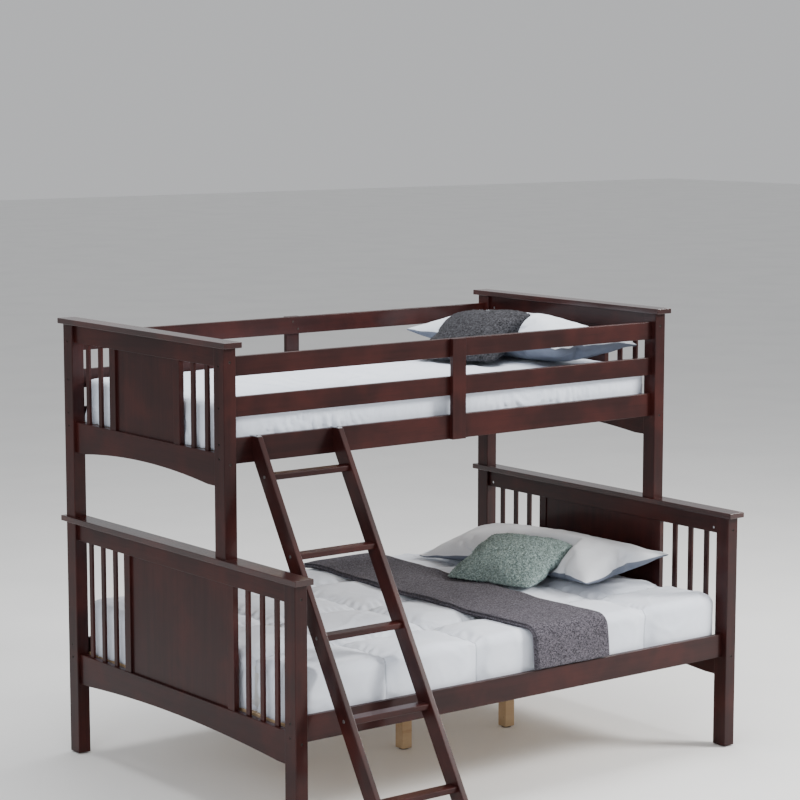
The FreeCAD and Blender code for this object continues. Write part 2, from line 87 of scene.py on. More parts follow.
class Finish:
    """One material: a Principled shader, and the nodes that vary it over the surface."""

    def __init__(self, name, **constants):
        self.material = bpy.data.materials.new(name)
        self.material.use_nodes = True
        self.tree = self.material.node_tree
        self.shader = self.tree.nodes["Principled BSDF"]
        for socket, value in constants.items():
            self.shader.inputs[socket.replace("_", " ")].default_value = value

    def node(self, kind, output, settings, values):
        """Adds a node, sets its properties, gives its sockets values or links, and returns one output."""
        added = self.tree.nodes.new(kind)
        for name, setting in settings.items():
            setattr(added, name, setting)
        for key, value in values.items():
            if isinstance(value, Value):
                self.tree.links.new(value.socket, added.inputs[key])
            else:
                added.inputs[key].default_value = value
        return Value(self, added.outputs[output])

    def place(self, scale=(1, 1, 1), turn=(0, 0, 0), source="Object"):
        """Object or UV coordinates, turned and then stretched."""
        where = self.node("ShaderNodeTexCoord", source, {}, {})
        if any(turn):
            where = self.node("ShaderNodeMapping", "Vector", {}, {"Vector": where, "Rotation": turn})
        return self.node("ShaderNodeMapping", "Vector", {}, {"Vector": where, "Scale": scale})

    def noise(self, where, scale, detail=2.0, roughness=0.5):
        values = {"Vector": where, "Scale": scale, "Detail": detail, "Roughness": roughness}
        return self.node("ShaderNodeTexNoise", "Fac", {}, values)

    def mix(self, factor, low, high):
        """A colour between two: low where factor is 0, high where it is 1."""
        values = {0: factor, 6: low if isinstance(low, Value) else (*low, 1), 7: (*high, 1)}
        return self.node("ShaderNodeMix", 2, {"data_type": "RGBA"}, values)

    def set(self, socket, value):
        self.tree.links.new(value.socket, self.shader.inputs[socket])

    def bump(self, height, distance, strength=1.0):
        values = {"Height": height, "Distance": distance, "Strength": strength}
        self.set("Normal", self.node("ShaderNodeBump", "Normal", {}, values))


STAIN_DARK = (0.0170, 0.0046, 0.0044)
STAIN_MID = (0.030, 0.0076, 0.0068)
STAIN_RED = (0.058, 0.0110, 0.0084)


def stained_wood(name, axis, turn=(0, 0, 0), lacquer=0.24):
    """Dark cherry stain under satin lacquer: long figure and short pores drawn out along one axis."""
    wood = Finish(name, Coat_Weight=lacquer, Coat_Roughness=0.16, Specular_IOR_Level=0.10)
    along = [1.0, 1.0, 1.0]
    along[axis] = 0.045
    fine = [1.0, 1.0, 1.0]
    fine[axis] = 0.02
    figure = wood.noise(wood.place(along, turn), 34, 5, 0.6)
    pores = wood.noise(wood.place(fine, turn), 420, 2, 0.5)
    cloud = wood.noise(wood.place(), 4.5, 3, 0.6)
    tone = wood.mix(figure.ramp(0.30, 0.72) * 0.85, STAIN_DARK, STAIN_MID)
    tone = wood.mix(cloud.ramp(0.40, 0.75) * 0.6, tone, STAIN_RED)
    tone = wood.mix(pores.ramp(0.56, 0.72) * 0.5, tone, STAIN_DARK)
    wood.set("Base Color", tone)
    wood.set("Roughness", 0.30 + 0.12 * cloud + 0.10 * pores)
    wood.bump(figure * 0.35 + pores * 0.65, 0.0006, 0.35)
    return wood.material


def pine(name, axis):
    """Planed pale pine: long growth lines with a few darker ones."""
    wood = Finish(name, Specular_IOR_Level=0.35)
    along = [1.0, 1.0, 1.0]
    along[axis] = 0.05
    warp = wood.noise(wood.place(along), 14, 4, 0.55)
    lines = wood.noise(wood.place(along), 90, 3, 0.6)
    tone = wood.mix(warp.ramp(0.35, 0.7), (0.52, 0.37, 0.22), (0.42, 0.28, 0.15))
    tone = wood.mix(lines.ramp(0.55, 0.75) * 0.5, tone, (0.33, 0.18, 0.08))
    wood.set("Base Color", tone)
    wood.set("Roughness", 0.52 + 0.15 * lines)
    wood.bump(lines, 0.0004, 0.4)
    return wood.material


def metal(name, colour, roughness, metallic=1.0):
    """Plated steel: fine random brushing and a little staining."""
    steel = Finish(name, Metallic=metallic)
    grain = steel.noise(steel.place((1, 1, 12)), 300, 3, 0.6)
    stain = steel.noise(steel.place(), 60, 3, 0.6)
    steel.set("Base Color", steel.mix(stain.ramp(0.35, 0.75), colour, tuple(c * 0.72 for c in colour)))
    steel.set("Roughness", roughness + 0.16 * grain)
    steel.bump(grain, 0.0002, 0.3)
    return steel.material


def moulded(name, colour, roughness):
    """Moulded plastic or rubber: a fine spark texture with scuffs."""
    body = Finish(name, Specular_IOR_Level=0.4)
    speckle = body.noise(body.place(), 900, 2, 0.5)
    scuff = body.noise(body.place(), 40, 4, 0.7)
    body.set("Base Color", body.mix(scuff.ramp(0.5, 0.75), colour, tuple(c * 1.9 + 0.01 for c in colour)))
    body.set("Roughness", roughness + 0.2 * scuff)
    body.bump(speckle, 0.0002, 0.5)
    return body.material


def plain_cloth(name, colour, shade, thread=700, sheen=0.10, crumple=0.010):
    """Plain weave: two crossed sets of uneven threads, a soft cloud of tone, and slight crumpling."""
    cloth = Finish(name, Sheen_Weight=sheen, Sheen_Roughness=0.5, Specular_IOR_Level=0.2)
    warp = cloth.noise(cloth.place((1, 0.03, 1), source="UV"), thread, 2, 0.5)
    weft = cloth.noise(cloth.place((0.03, 1, 1), source="UV"), thread, 2, 0.5)
    cloud = cloth.noise(cloth.place(source="UV"), 5, 4, 0.6)
    weave = warp * 0.5 + weft * 0.5
    tone = cloth.mix(cloud.ramp(0.3, 0.75) * 0.6, colour, shade)
    cloth.set("Base Color", cloth.mix(weave.ramp(0.45, 0.65) * 0.45, tone, shade))
    cloth.set("Roughness", 0.78 + 0.15 * weave)
    folds = cloth.noise(cloth.place((1, 1, 0.45)), 13, 4, 0.55)
    cloth.bump(weave * 0.04 + folds, crumple, 0.7)
    return cloth.material


def quilting(name, middle):
    """Sewn cotton: a fine weave, with painted shade along each stitched seam of the quilt where its groove
    dips, broken at each stitch.
    """
    cloth = Finish(name, Sheen_Weight=0.2, Sheen_Roughness=0.5, Specular_IOR_Level=0.2)
    where = cloth.place()
    x = cloth.node("ShaderNodeSeparateXYZ", "X", {}, {"Vector": where})
    y = Value(cloth, x.socket.node.outputs["Y"])
    # lines: a mask of the seams, painted below as shade in their grooves and used in the bump as the groove
    # itself
    lines = None
    for t, other in ((x * (1 / QUILT_SQUARE) + 0.5, y), ((y - middle) * (1 / QUILT_SQUARE), x)):
        gap = t.math("PINGPONG", t, 0.5) * QUILT_SQUARE
        stitch = other.math("PINGPONG", other, 0.0022).ramp(0.0004, 0.0012)
        line = (1 - gap.ramp(0.0012, 0.0045)) * (0.60 + 0.40 * stitch)
        lines = line if lines is None else lines.math("MAXIMUM", lines, line)
    warp = cloth.noise(cloth.place((1, 0.05, 1)), 620, 2)
    weft = cloth.noise(cloth.place((0.05, 1, 1)), 620, 2)
    thread = warp * 0.5 + weft * 0.5
    cloud = cloth.noise(where, 5, 4, 0.6)
    tone = cloth.mix(cloud.ramp(0.3, 0.75) * 0.6, (0.80, 0.84, 0.92), (0.71, 0.76, 0.86))
    tone = cloth.mix(thread.ramp(0.45, 0.65) * 0.25, tone, (0.66, 0.70, 0.77))
    # painted shade: along the seams the cloth is darkened towards blue grey, because their grooves lie in
    # shade
    cloth.set("Base Color", cloth.mix(lines * 0.75, tone, (0.40, 0.43, 0.50)))
    cloth.set("Roughness", 0.78 + 0.15 * thread)
    cloth.bump(thread * 0.35 - lines, 0.0012, 0.7)
    return cloth.material


def herringbone_cloth(name, colour, shade, column=0.012, rib=0.0042):
    """Herringbone: diagonal ribs whose slant turns over from one column to the next."""
    cloth = Finish(name, Sheen_Weight=0.25, Sheen_Roughness=0.5, Specular_IOR_Level=0.2)
    where = cloth.place(source="UV")
    x = cloth.node("ShaderNodeSeparateXYZ", "X", {}, {"Vector": where})
    y = Value(cloth, x.socket.node.outputs["Y"])
    across = x * (1 / column)
    zigzag = across.math("PINGPONG", across, 1.0)
    ribs = ((y * (1 / rib)) + zigzag * (column / rib)) * (2 * math.pi)
    wave = ribs.math("SINE", ribs) * 0.5 + 0.5
    cloud = cloth.noise(cloth.place(source="UV"), 6, 4, 0.6)
    tone = cloth.mix(cloud.ramp(0.3, 0.75) * 0.5, colour, shade)
    cloth.set("Base Color", cloth.mix(wave * 0.7, tone, tuple(c * 0.82 for c in shade)))
    cloth.set("Roughness", 0.80 + 0.1 * wave)
    cloth.bump(wave, 0.0005, 0.5)
    return cloth.material


def flecked_cloth(name, dark, light, fleck, relief):
    """Tweed, knit or pile: cells of random tone, drawn out a little by noise, with a nubby surface."""
    cloth = Finish(name, Sheen_Weight=0.05, Sheen_Roughness=0.5, Specular_IOR_Level=0.08)
    where = cloth.place()
    cells = cloth.node("ShaderNodeTexVoronoi", "Color", {"feature": "F1"}, {"Vector": where, "Scale": fleck})
    tone = cloth.node("ShaderNodeSeparateColor", 0, {}, {0: cells})
    nub = Value(cloth, cells.socket.node.outputs["Distance"])
    drift = cloth.noise(where, fleck * 0.35, 4, 0.65)
    level = tone * 0.55 + drift * 0.75 - 0.15
    cloth.set("Base Color", cloth.mix(level.ramp(0.12, 0.88), dark, light))
    cloth.set("Roughness", 0.85 + 0.12 * drift)
    cloth.bump(1 - nub * 1.4, relief, 0.8)
    return cloth.material


# ---------------------------------------------------------------- shapes

def box_lattice(cells):
    """The welded skin of a box of cells: whole-number points, outward quads, and each quad's side.

    A side is 0, 2 or 4 for the far face across X, Y or Z, and one more for the near face."""
    corners = []
    sides = []
    for axis in range(3):
        across, up = (axis + 1) % 3, (axis + 2) % 3
        i, j = np.meshgrid(np.arange(cells[across]), np.arange(cells[up]), indexing="ij")
        steps = ((0, 0), (1, 0), (1, 1), (0, 1))
        for near in (0, 1):
            quad = np.zeros((i.size, 4, 3), int)
            for k, (a, b) in enumerate(steps[::-1] if near else steps):
                quad[:, k, axis] = 0 if near else cells[axis]
                quad[:, k, across] = i.ravel() + a
                quad[:, k, up] = j.ravel() + b
            corners.append(quad)
            sides.append(np.full(len(quad), 2 * axis + near))
    corners = np.concatenate(corners)
    points, index = np.unique(corners.reshape(-1, 3), axis=0, return_inverse=True)
    return points, index.reshape(-1, 4), np.concatenate(sides)


def make_piece(name, points, quads, materials, uv=None, choice=None):
    """A smooth mesh object from arrays of points and quads; choice picks each face's material."""
    mesh = bpy.data.meshes.new(name)
    mesh.from_pydata(points.tolist(), [], quads.tolist())
    for material in materials:
        mesh.materials.append(material)
    mesh.polygons.foreach_set("use_smooth", np.ones(len(mesh.polygons), bool))
    if choice is not None:
        mesh.polygons.foreach_set("material_index", choice.astype(np.int32))
    if uv is not None:
        layer = mesh.uv_layers.new(name="cloth")
        layer.uv.foreach_set("vector", uv.reshape(-1).astype(np.float32))
    mesh.update()
    piece = bpy.data.objects.new(name, mesh)
    bpy.context.scene.collection.objects.link(piece)
    return piece


def grid_quads(rows, columns):
    """The quads of a grid of points numbered row by row."""
    i, j = np.meshgrid(np.arange(rows - 1), np.arange(columns - 1), indexing="ij")
    first = (i * columns + j).ravel()
    return np.column_stack([first, first + columns, first + columns + 1, first + 1])


def vertex_values(mesh, attribute):
    """One row of three numbers for each vertex: its place, co, or its normal."""
    values = np.zeros(len(mesh.vertices) * 3)
    mesh.vertices.foreach_get(attribute, values)
    return values.reshape(-1, 3)


def lattice_uv(points, quads, sides, size):
    """Flat cloth coordinates in metres: each side of the box laid out by its own two directions."""
    where = points[quads] * size
    uv = np.zeros((len(quads), 4, 2))
    for axis in range(3):
        across, up = ((1, 2), (0, 2), (0, 1))[axis]
        picked = sides // 2 == axis
        uv[picked] = where[picked][:, :, [across, up]]
    return uv


def normals(points, quads):
    """Vertex normals: the sum of the crossed diagonals of the quads round each point."""
    p = points[quads]
    facing = np.cross(p[:, 2] - p[:, 0], p[:, 3] - p[:, 1])
    total = np.zeros_like(points)
    for k in range(quads.shape[1]):
        np.add.at(total, quads[:, k], facing)
    return total / np.maximum(np.linalg.norm(total, axis=1, keepdims=True), 1e-12)


def ripple(points, wavelength, seed, count=24, stretch=(1, 1, 1)):
    """Smooth noise of about unit size: cosines of random direction and phase, near one wavelength."""
    rng = np.random.default_rng(seed)
    way = rng.normal(size=(count, 3))
    way /= np.linalg.norm(way, axis=1, keepdims=True)
    way *= (2 * math.pi / wavelength) * rng.uniform(0.6, 1.5, (count, 1))
    phase = rng.uniform(0, 2 * math.pi, count)
    return np.cos((points * np.array(stretch)) @ way.T + phase).sum(axis=1) * math.sqrt(2 / count)


def creases(points, wavelength, seed, stretch=(1, 1, 1)):
    """Folds: 1 along the thin lines where smooth noise crosses zero, and 0 between them."""
    return np.exp(-(ripple(points, wavelength, seed, 18, stretch) / 0.28) ** 2)


def rounded_slab(low, high, plan_radius, edge_radius, step):
    """A box with its corners rounded in plan and its upper and lower edges rolled over.

    In plan, and again across each edge, a square corner becomes a quarter disc: a point keeps its larger
    coordinate as its distance from the corner's centre and keeps its direction."""
    low, high = np.array(low), np.array(high)
    cells = np.maximum(np.round((high - low) / step).astype(int), 2)
    lattice, quads, sides = box_lattice(cells)
    size = (high - low) / cells
    half = (high - low) / 2
    p = lattice * size - half
    corner = np.maximum(np.abs(p[:, :2]) - (half[:2] - plan_radius), 0)
    ring = corner.max(axis=1)
    length = np.maximum(np.linalg.norm(corner, axis=1), 1e-9)
    inside = np.minimum(np.abs(p[:, :2]), half[:2] - plan_radius)
    plan = inside + corner * np.where(ring > 0, ring / length, 1)[:, None]
    gap = np.where(ring > 0, plan_radius - ring, (half[:2] - np.abs(p[:, :2])).min(axis=1))
    outward = np.where(ring[:, None] > 0, corner / length[:, None], 0)
    a = np.maximum(edge_radius - gap, 0)
    b = np.maximum(np.abs(p[:, 2]) - (half[2] - edge_radius), 0)
    turn = np.maximum(a, b) / np.maximum(np.hypot(a, b), 1e-9)
    turn = np.where((a > 0) & (b > 0), turn, 1)
    plan = plan - outward * (a * (1 - turn))[:, None]
    z = np.minimum(np.abs(p[:, 2]), half[2] - edge_radius) + b * turn
    shaped = np.column_stack([plan * np.sign(p[:, :2]), z * np.sign(p[:, 2])]) + (low + high) / 2
    return shaped, quads, sides, lattice_uv(lattice, quads, sides, size)


def skirted_slab(low, high, plan_radius, edge_radius, step):
    """A rounded slab without its underside, whose walls run straight down to the bottom."""
    low = Vector((low.x, low.y, low.z - edge_radius))
    points, quads, sides, uv = rounded_slab(low, high, plan_radius, edge_radius, step)
    kept = points[quads][:, :, 2].max(axis=1) > low.z + edge_radius
    points[:, 2] = np.maximum(points[:, 2], low.z + edge_radius)
    used, index = np.unique(quads[kept], return_inverse=True)
    return points[used], index.reshape(-1, 4), sides[kept], uv[kept]


BAG_GAP = 0.012                     # between a bag's two layers before it is blown up


def inflate(name, size, cell, pressure, bow, firm, frames=24):
    """A sewn bag blown up by cloth simulation, centred on the origin, with its final points and quads.

    It starts as two flat layers joined round the edge, cut with each side bowed outwards by a parabola,
    since filling draws the sides in. A firm filling holds the case nearer to a dome with straight sides,
    whose layers rise as the square root of the product of two parabolas, one along each side; firm is
    the dome's share of the final shape."""
    cells = (round(size[0] / cell), round(size[1] / cell), 1)
    lattice, quads, sides = box_lattice(cells)
    step = np.array([size[0] / cells[0], size[1] / cells[1], BAG_GAP])
    flat = lattice * step - np.array([size[0], size[1], step[2]]) / 2
    uv = lattice_uv(lattice, quads, sides, step)
    u, v = 2 * flat[:, 0] / size[0], 2 * flat[:, 1] / size[1]
    rise = np.sqrt(np.maximum((1 - u ** 2) * (1 - v ** 2), 0)) * size[2] / 2
    dome = flat.copy()
    dome[:, 2] += np.sign(flat[:, 2]) * rise
    flat[:, 0] *= 1 + bow * (1 - v ** 2)
    flat[:, 1] *= 1 + bow * size[0] / size[1] * (1 - u ** 2)
    bag = make_piece(name + "_bag", flat, quads, [])
    cloth = bag.modifiers.new("bag", "CLOTH")
    settings = cloth.settings
    settings.quality = 6
    settings.mass = 0.25
    settings.tension_stiffness = 22
    settings.compression_stiffness = 12
    settings.shear_stiffness = 6
    settings.bending_stiffness = 0.35
    settings.use_pressure = True
    settings.uniform_pressure_force = pressure
    settings.effector_weights.gravity = 0
    cloth.collision_settings.use_collision = False
    cloth.point_cache.frame_start = 1
    cloth.point_cache.frame_end = frames
    scene = bpy.context.scene
    for number in range(1, frames + 1):
        scene.frame_set(number)
    blown = bpy.data.meshes.new_from_object(bag.evaluated_get(bpy.context.evaluated_depsgraph_get()))
    points = vertex_values(blown, "co")
    bpy.data.objects.remove(bag)
    bpy.data.meshes.remove(blown)
    scene.frame_set(1)
    span = points.max(axis=0) - points.min(axis=0)
    points -= (points.max(axis=0) + points.min(axis=0)) / 2
    return points * (np.array(size) / span) * (1 - firm) + dome * firm, quads, sides, uv


def turned(points, roll, lean, swing):
    """Points rolled about X so that -Y rises, leaned about Y so that +X rises, and then swung about Z."""
    c, s = math.cos(math.radians(roll)), math.sin(math.radians(roll))
    y = points[:, 1] * c + points[:, 2] * s
    points = np.column_stack([points[:, 0], y, points[:, 2] * c - points[:, 1] * s])
    c, s = math.cos(math.radians(lean)), math.sin(math.radians(lean))
    x = points[:, 0] * c - points[:, 2] * s
    z = points[:, 0] * s + points[:, 2] * c
    c, s = math.cos(math.radians(swing)), math.sin(math.radians(swing))
    return np.column_stack([x * c - points[:, 1] * s, x * s + points[:, 1] * c, z])


def facing_back(points, roll, lean, swing):
    """The reverse of turned."""
    points = turned(points, 0, 0, -swing)
    return turned(turned(points, 0, -lean, 0), -roll, 0, 0)


PILLOW_CLEAR = 0.006                # between a pillow and the cushion on it
PILLOW_SWELL = 0.9                  # rise of a pillow for each unit past the cushion's edge


def press(points, angles, middle, cut):
    """Points pushed down along a cushion's own thickness until they clear its domed underside.

    Past the cushion's edge the limit rises steeply, so the pillow swells up again round it."""
    local = facing_back(points - np.array(middle), *angles)
    u, v = 2 * local[:, 0] / cut[0], 2 * local[:, 1] / cut[1]
    dome = np.sqrt(np.maximum((1 - u ** 2), 0) * np.maximum((1 - v ** 2), 0)) * cut[2] / 2
    past = np.maximum(np.maximum(np.abs(u), np.abs(v)) - 1, 0)
    limit = PILLOW_SWELL * past * cut[0] - dome - PILLOW_CLEAR
    local[:, 2] = np.minimum(local[:, 2], limit)
    return turned(local, *angles) + np.array(middle)


def settle(points, floor, softness=0.012):
    """Points that would sink below a level come to rest on it, with a soft bend where they meet it."""
    z = points[:, 2] - floor
    points = points.copy()
    points[:, 2] = floor + (z + np.sqrt(z * z + softness * softness)) / 2
    return points


def smoothen(piece, levels=1):
    """One live subdivision, the same in the view and the render."""
    modifier = piece.modifiers.new("smooth", "SUBSURF")
    modifier.levels = levels
    modifier.render_levels = levels


# ---------------------------------------------------------------- timber and hardware

def dress_frame():
    """Gives every hard CAD node its finish; the grain runs along each board."""
    grain = [stained_wood("stained_wood_" + "xyz"[axis], axis) for axis in range(3)]
    leaning = stained_wood("stained_wood_leaning", 2, (LEAN, 0, 0))
    polished = stained_wood("stained_wood_caps", 1, lacquer=0.8)
    slats = pine("pine_slats", 1)
    bearers = pine("pine_bearers", 0)
    bronze = metal("bronzed_steel", (0.05, 0.04, 0.036), 0.36, 0.8)
    zinc = metal("zinc_steel", (0.62, 0.63, 0.65), 0.24)
    dull = metal("zinc_steel_dull", (0.16, 0.15, 0.15), 0.42)
    rules = (
        ("stringer", leaning), ("ladder_rungs", grain[0]), ("ladder_hooks", zinc), ("ladder_bolts", dull),
        ("ladder_feet", moulded("foot_rubber", (0.02, 0.02, 0.02), 0.6)),
        ("glides", moulded("glide_plastic", (0.03, 0.03, 0.03), 0.4)),
        ("ledgers", bearers), ("centre_support", bearers), ("slats", slats),
        ("frame_bolts", bronze), ("barrel_nuts", zinc), ("stacking_pins", zinc),
        ("uprights", grain[2]), ("guard_rails", grain[0]), ("side_rail", grain[0]),
        ("cap", polished), ("top_rail", grain[1]), ("bottom_rail", grain[1]),
        ("post", grain[2]), ("spindles", grain[2]), ("panel", grain[2]))
    for name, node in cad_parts.items():
        for word, material in rules:
            if word in name:
                node.data.materials.clear()
                node.data.materials.append(material)
                break


# ---------------------------------------------------------------- bedding

CORNER = 0.050                      # radius of a mattress's corners in plan, and of its covers'
TICKING_INSET = 0.016               # room for the folds and seams of the cover to dip into
TICKING_EDGE = 0.022                # radius along the upper and lower edges
SHEET_EDGE = 0.034
QUILT_EDGE = 0.038
TICKING_STEP = 0.022                # spacing of the points on each piece
SHEET_STEP = 0.0085
QUILT_STEP = 0.0088
SHEET_CLOTH = 0.0012                # thickness
QUILT_CLOTH = 0.009
SHEET_BROAD_FOLD = (0.085, 0.0150)  # spacing and height
SHEET_NARROW_FOLD = (0.040, 0.0085)
SHEET_GATHER = (0.022, 0.0016)
SHEET_PROUD = 0.0020                # the most that a fold stands out
GROOVE = (0.0060, 0.010)            # depth and width of the stitched groove
DIP = (0.0135, 0.048)               # depth and width of the broad dip to it
PUCKER_SPACING = 0.045
PUCKER = (0.0034, 0.022, 0.020)     # height, distance from the stitches, and width
EARS = (0.035, 0.02)                # share by which a pillow's corners are drawn out


def seat(piece, body, slot, *nodes):
    """Rides a finished piece on its body, in place of its plain CAD nodes."""
    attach(piece, body)
    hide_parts(*nodes)
    return piece


def mattress(level, body):
    """The mattress itself: ticking over foam, with a rolled edge, all but hidden by its cover."""
    low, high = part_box(level + "_mattress")
    inset = TICKING_INSET
    points, quads, _, uv = rounded_slab(
        (low.x + inset, low.y + inset, low.z), (high.x - inset, high.y - inset, high.z - inset),
        CORNER, TICKING_EDGE, TICKING_STEP)
    ticking = plain_cloth(level + "_ticking", (0.74, 0.74, 0.72), (0.55, 0.56, 0.58), 380)
    piece = make_piece(level + "_mattress_body", points, quads, [ticking], uv)
    return seat(piece, body, "mattress_ticking", level + "_mattress")


def fitted_sheet():
    """The upper sheet: pulled nearly smooth on top, with gathered folds down its sides.

    Folds follow lines where smooth noise crosses zero. The noise is drawn out downwards, so most folds
    run down the side, and they deepen towards the tuck under the mattress."""
    low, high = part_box("upper_fitted_sheet")
    points, quads, _, uv = skirted_slab(low, high, CORNER, SHEET_EDGE, SHEET_STEP)
    facing = normals(points, quads)
    down = np.clip((high.z - points[:, 2]) / (high.z - low.z), 0, 1)
    side = 1 - np.clip(facing[:, 2], 0, 1) ** 2
    slant = points.copy()
    for axis in (0, 1):
        slant[:, axis] += 0.5 * points[:, 2] * np.sin(points[:, axis] * 5)
    patch = np.clip(0.55 + 0.6 * ripple(points, 0.75, seed=10, count=12), 0.12, 1.3)
    broad = creases(slant, SHEET_BROAD_FOLD[0], seed=11, stretch=(1, 1, 0.30)) * SHEET_BROAD_FOLD[1]
    narrow = creases(slant, SHEET_NARROW_FOLD[0], seed=12, stretch=(1, 1, 0.42)) * SHEET_NARROW_FOLD[1]
    gather = ripple(slant, SHEET_GATHER[0], seed=15, stretch=(1, 1, 0.25)) * SHEET_GATHER[1]
    folds = (broad + narrow) * patch + gather * patch * down ** 2
    swell = ripple(points, 0.30, seed=13) * 0.0016
    top = swell + creases(points, 0.22, seed=14, stretch=(1, 0.5, 1)) * 0.0042 * patch
    height = side * (folds * (0.25 + 0.7 * down) - 0.0085) + (1 - side) * (top - 0.0015)
    points = points + facing * np.minimum(height, SHEET_PROUD)[:, None]
    percale = plain_cloth("blue_white_percale", (0.76, 0.81, 0.90), (0.66, 0.72, 0.83))
    piece = make_piece("upper_fitted_sheet_cloth", points, quads, [percale], uv)
    thicken = piece.modifiers.new("thickness", "SOLIDIFY")
    thicken.thickness = SHEET_CLOTH
    thicken.offset = -1
    return seat(piece, "upper_mattress", "white_percale", "upper_fitted_sheet")


def quilt():
    """The lower quilt: a soft rounded slab, drawn in along a square grid of sewn seams.

    The seams lie at half squares from the middle along X and at whole squares along Y. The surface dips
    to each seam over a hand's breadth, with a narrow groove at the stitches and short puckers beside it:
    an exponential for the groove, a bell curve for the dip, and a cosine under a bell curve for the
    puckers."""
    low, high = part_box("lower_quilt")
    points, quads, _, uv = skirted_slab(low, high, CORNER, QUILT_EDGE, QUILT_STEP)
    facing = normals(points, quads)
    middle = (low.y + high.y) / 2
    across = points[:, 0] / QUILT_SQUARE + 0.5
    along = (points[:, 1] - middle) / QUILT_SQUARE
    waver = 2.5 * ripple(points, 0.15, seed=31)
    height = np.zeros(len(points))
    for t, other in ((across, along), (along, across)):
        gap = np.abs(t - np.round(t)) * QUILT_SQUARE
        height -= GROOVE[0] * np.exp(-gap / GROOVE[1]) + DIP[0] * np.exp(-(gap / DIP[1]) ** 2)
        pucker = np.cos(other * QUILT_SQUARE * 2 * math.pi / PUCKER_SPACING + waver)
        height += PUCKER[0] * pucker * np.exp(-((gap - PUCKER[1]) / PUCKER[2]) ** 2)
    height += ripple(points, 0.36, seed=32) * 0.0022
    height += creases(points, 0.26, seed=33, stretch=(1, 0.6, 1)) * 0.0030
    height += creases(points, 0.12, seed=34) * 0.0012
    points = points + facing * (height - 0.0010)[:, None]
    piece = make_piece("lower_quilt_cloth", points, quads, [quilting("white_quilting", middle)], uv)
    thicken = piece.modifiers.new("thickness", "SOLIDIFY")
    thicken.thickness = QUILT_CLOTH
    thicken.offset = -1
    return seat(piece, "lower_bunk", "white_quilting", "lower_quilt")


def pillow(level, body, cut, angles, middle, loft, materials, slot, pad, edge_seed):
    """A pillow blown up from its sewn case, fuller above its seam than below, then set on the bedding.

    angles are its roll about X, its lean about Y and its swing about Z, in degrees, and pad is the
    cushion that lies on it. Its corners are drawn out into ears, and below the bedding's surface it is
    pressed flat."""
    points, quads, sides, uv = inflate(level + "_pillow", cut, cell=0.0125, pressure=6, bow=0.03, firm=0.12)
    low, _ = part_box(level + "_pillow")
    points[:, 2] *= np.where(points[:, 2] > 0, loft, 2 - loft)
    u, v = np.abs(2 * points[:, 0] / cut[0]), np.abs(2 * points[:, 1] / cut[1])
    ear = (np.clip(u, 0, 1) * np.clip(v, 0, 1)) ** 6
    points[:, :2] *= 1 + np.array(EARS)[None, :] * ear[:, None]
    flow = 1 - np.clip(np.maximum(u, v), 0, 1) ** 3
    fold = creases(points, 0.16, seed=75, stretch=(1, 0.55, 1)) * 0.0035
    points[:, 2] += fold * flow * np.sign(points[:, 2])
    points[:, 2] += (1 - flow) * ripple(points, 0.13, edge_seed, 18, (1, 1, 0)) * 0.0045
    points = turned(points, *angles) + np.array(middle)
    points = settle(press(points, *pad), low.z)
    piece = make_piece(level + "_pillow_case", points, quads, materials, uv, (sides != 4).astype(int))
    smoothen(piece)
    return seat(piece, body, slot, level + "_pillow")


def cushion(level, body, angles, middle, cut, material, slot, nub, relief):
    """A square cushion with rounded corners, nubby from two sizes of noise laid along its normals."""
    points, quads, _, uv = inflate(level + "_cushion", cut, cell=0.008, pressure=4, bow=0.24, firm=0.70)
    half = cut[0] / 2
    reach = np.abs(points[:, :2]) / half
    corner = np.clip(np.minimum(reach[:, 0], reach[:, 1]), 0, 1) ** 5
    points[:, :2] *= 1 - 0.05 * corner[:, None]
    points = turned(points, *angles) + np.array(middle)
    low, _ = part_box(level + "_cushion")
    points = settle(points, low.z)
    piece = make_piece(level + "_cushion_cover", points, quads, [material], uv)
    smoothen(piece)
    fine = bpy.data.meshes.new_from_object(piece.evaluated_get(bpy.context.evaluated_depsgraph_get()))
    bpy.data.objects.remove(piece)
    co = vertex_values(fine, "co")
    rough = np.abs(ripple(co, nub, 51, 40)) + 0.5 * np.abs(ripple(co, nub * 0.6, 52, 40))
    co = co + vertex_values(fine, "normal") * ((rough - 0.8) * relief)[:, None]
    fine.vertices.foreach_set("co", co.reshape(-1))
    fine.update()
    piece = bpy.data.objects.new(level + "_cushion_cover", fine)
    bpy.context.scene.collection.objects.link(piece)
    return seat(piece, body, slot, level + "_cushion")


THROW_LAYERS = 4
THROW_STACK = 0.0185                # height of the four layers together
THROW_CLOTH = 0.0030                # thickness of one
THROW_BEND = 0.030                  # radius of its path over the quilt's edge
THROW_NOSE = 0.96                   # how far a fold reaches out, for each layer's height


